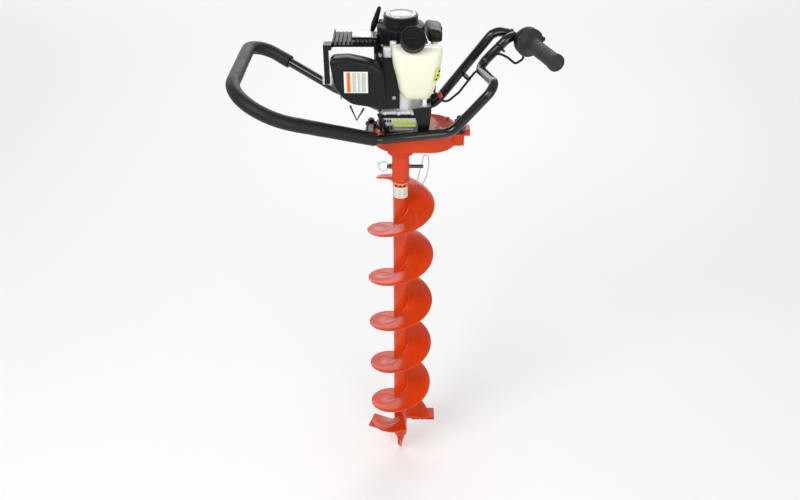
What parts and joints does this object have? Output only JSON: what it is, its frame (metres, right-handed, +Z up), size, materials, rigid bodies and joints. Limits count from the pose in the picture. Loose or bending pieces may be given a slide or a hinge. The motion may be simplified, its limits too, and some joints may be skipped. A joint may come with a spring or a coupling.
{
  "type": "earth auger",
  "caption": "One-person petrol earth auger with a spiral soil bit, flat gearbox, bent tube handle with padded hip loop and twist grip, and a pull-start engine.",
  "frame": {"origin": "tip of the pilot point, on the bit's axis", "axes": "+Z up along the bit's axis towards the engine, +X towards the twist grip, -Y the side with the fuel tank and muffler cover"},
  "size_m": [0.6658, 0.346, 1.2095],
  "materials": {
    "orange": "glossy orange paint",
    "zinc": "zinc plated",
    "dark_steel": "black oxide",
    "gear_steel": "oiled",
    "alu": "as cast",
    "gloss_black": "gloss black paint",
    "foam": "matte foam",
    "grip_rubber": "moulded rubber",
    "mount_rubber": "rubber",
    "black_plastic": "fine texture",
    "cable_jacket": "smooth",
    "tank_plastic": "translucent natural",
    "red_plastic": "gloss",
    "badge": "brushed",
    "ceramic": "glazed",
    "rope": "braided",
    "filter_foam": "oiled foam",
    "clutch_lining": "sintered",
    "throttle_zinc": "zinc plated"
  },
  "bodies": {
    "machine": {"gear_case": "orange", "gear_case_cover": "orange", "cover_bolts": "dark_steel", "gearbox_bearings": "gear_steel", "output_seal": "mount_rubber", "rubber_isolators": "mount_rubber", "frame_brackets": "gloss_black", "loop_tube": "gloss_black", "front_rail_tube": "gloss_black", "rear_rail_tube": "gloss_black", "foam_sleeve": "foam", "throttle_housing": "black_plastic", "throttle_cable": "cable_jacket", "clutch_housing": "black_plastic", "engine_braces": "gloss_black", "crankcase": "alu", "finned_cylinder": "alu", "piston": "alu", "cylinder_cowl": "black_plastic", "guard_bar": "gloss_black", "muffler": "dark_steel", "muffler_cover": "gloss_black", "support_wire": "dark_steel", "spark_plug": "ceramic", "fuel_tank": "tank_plastic", "recoil_housing": "black_plastic", "recoil_badge": "badge", "air_cleaner_cover": "black_plastic", "air_filter": "filter_foam", "carburetor": "alu", "stop_switch": "black_plastic"},
    "auger": {"pilot_point": "orange", "auger_tube": "orange", "auger_flighting": "orange", "lower_flighting": "orange", "cutter_blades": "orange", "blade_bolts": "dark_steel", "auger_hub": "orange", "output_shaft": "gear_steel", "output_gear": "gear_steel"},
    "hitch_pin": {"hitch_pin": "dark_steel", "pull_ring": "zinc"},
    "hairpin_clip": {"hairpin_clip": "zinc"},
    "countershaft": {"countershaft": "gear_steel", "countershaft_gear": "gear_steel"},
    "clutch_drum": {"input_pinion": "gear_steel", "clutch_drum": "gear_steel"},
    "crank": {"crankshaft": "gear_steel", "flywheel": "alu"},
    "shoe_left": {"clutch_shoe_left": "clutch_lining"},
    "shoe_right": {"clutch_shoe_right": "clutch_lining"},
    "recoil_pulley": {"recoil_pulley": "black_plastic"},
    "pull_handle": {"pull_handle": "black_plastic", "starter_rope": "rope"},
    "twist_grip": {"twist_grip": "grip_rubber"},
    "throttle_lever": {"throttle_lever": "throttle_zinc"},
    "choke_lever": {"choke_lever": "black_plastic"},
    "stop_button": {"stop_button": "red_plastic"},
    "fuel_cap": {"fuel_cap": "black_plastic"}
  },
  "joints": [
    {"name": "auger_spin", "type": "hinge", "parent": "machine", "child": "auger", "pos_m": [0, 0, 0.9], "axis": [0, 0, 1], "continuous": true},
    {"name": "countershaft_spin", "type": "hinge", "parent": "machine", "child": "countershaft", "pos_m": [0.05875, 0, 0.95], "axis": [0, 0, 1], "continuous": true},
    {"name": "drum_spin", "type": "hinge", "parent": "machine", "child": "clutch_drum", "pos_m": [0, 0, 0.985], "axis": [0, 0, 1], "continuous": true},
    {"name": "crank_spin", "type": "hinge", "parent": "machine", "child": "crank", "pos_m": [0, 0, 1.0675], "axis": [0, 0, 1], "continuous": true},
    {"name": "shoe_left_out", "type": "slide", "parent": "crank", "child": "shoe_left", "axis": [-1, 0, 0], "range_m": [0, 0.0008], "stiffness_N_per_m": 20000},
    {"name": "shoe_right_out", "type": "slide", "parent": "crank", "child": "shoe_right", "axis": [1, 0, 0], "range_m": [0, 0.0008], "stiffness_N_per_m": 20000},
    {"name": "hitch_pin_slide", "type": "slide", "parent": "auger", "child": "hitch_pin", "axis": [-1, 0, 0], "range_m": [0, 0.014]},
    {"name": "hairpin_slide", "type": "slide", "parent": "hitch_pin", "child": "hairpin_clip", "axis": [0.2095, 0, 0.9778], "range_m": [0, 0.024]},
    {"name": "starter_pull", "type": "slide", "parent": "machine", "child": "pull_handle", "axis": [-1, 0, 0], "range_m": [0, 0.035], "stiffness_N_per_m": 150},
    {"name": "recoil_pulley_spin", "type": "hinge", "parent": "machine", "child": "recoil_pulley", "pos_m": [0, 0, 1.1765], "axis": [0, 0, 1], "range_deg": [0, 70]},
    {"name": "throttle_twist", "type": "hinge", "parent": "machine", "child": "twist_grip", "pos_m": [0.267, 0.06, 1.124], "axis": [0.2906, -0.9568, 0.0071], "range_deg": [0, 70], "stiffness_Nm_per_rad": 0.3},
    {"name": "throttle_lever_turn", "type": "hinge", "parent": "machine", "child": "throttle_lever", "pos_m": [0.08, 0.022, 1.0715], "axis": [1, 0, 0], "range_deg": [0, 56.5]},
    {"name": "choke_turn", "type": "hinge", "parent": "machine", "child": "choke_lever", "pos_m": [0.067, 0.036, 1.0875], "axis": [0, 1, 0], "range_deg": [0, 60]},
    {"name": "stop_press", "type": "slide", "parent": "machine", "child": "stop_button", "axis": [-0.848, 0, -0.5299], "range_m": [0, 0.003], "stiffness_N_per_m": 600},
    {"name": "cap_turn", "type": "hinge", "parent": "machine", "child": "fuel_cap", "pos_m": [0.023, -0.08, 1.1755], "axis": [0, -0.7071, 0.7071], "range_deg": [0, 360]}
  ],
  "couplings": [
    {"joint": "countershaft_spin", "follows": "auger_spin", "ratio": -4.2222},
    {"joint": "drum_spin", "follows": "auger_spin", "ratio": 22.237},
    {"joint": "recoil_pulley_spin", "follows": "starter_pull", "rad_per_m": 33.333},
    {"joint": "throttle_lever_turn", "follows": "throttle_twist", "ratio": 0.8}
  ]
}
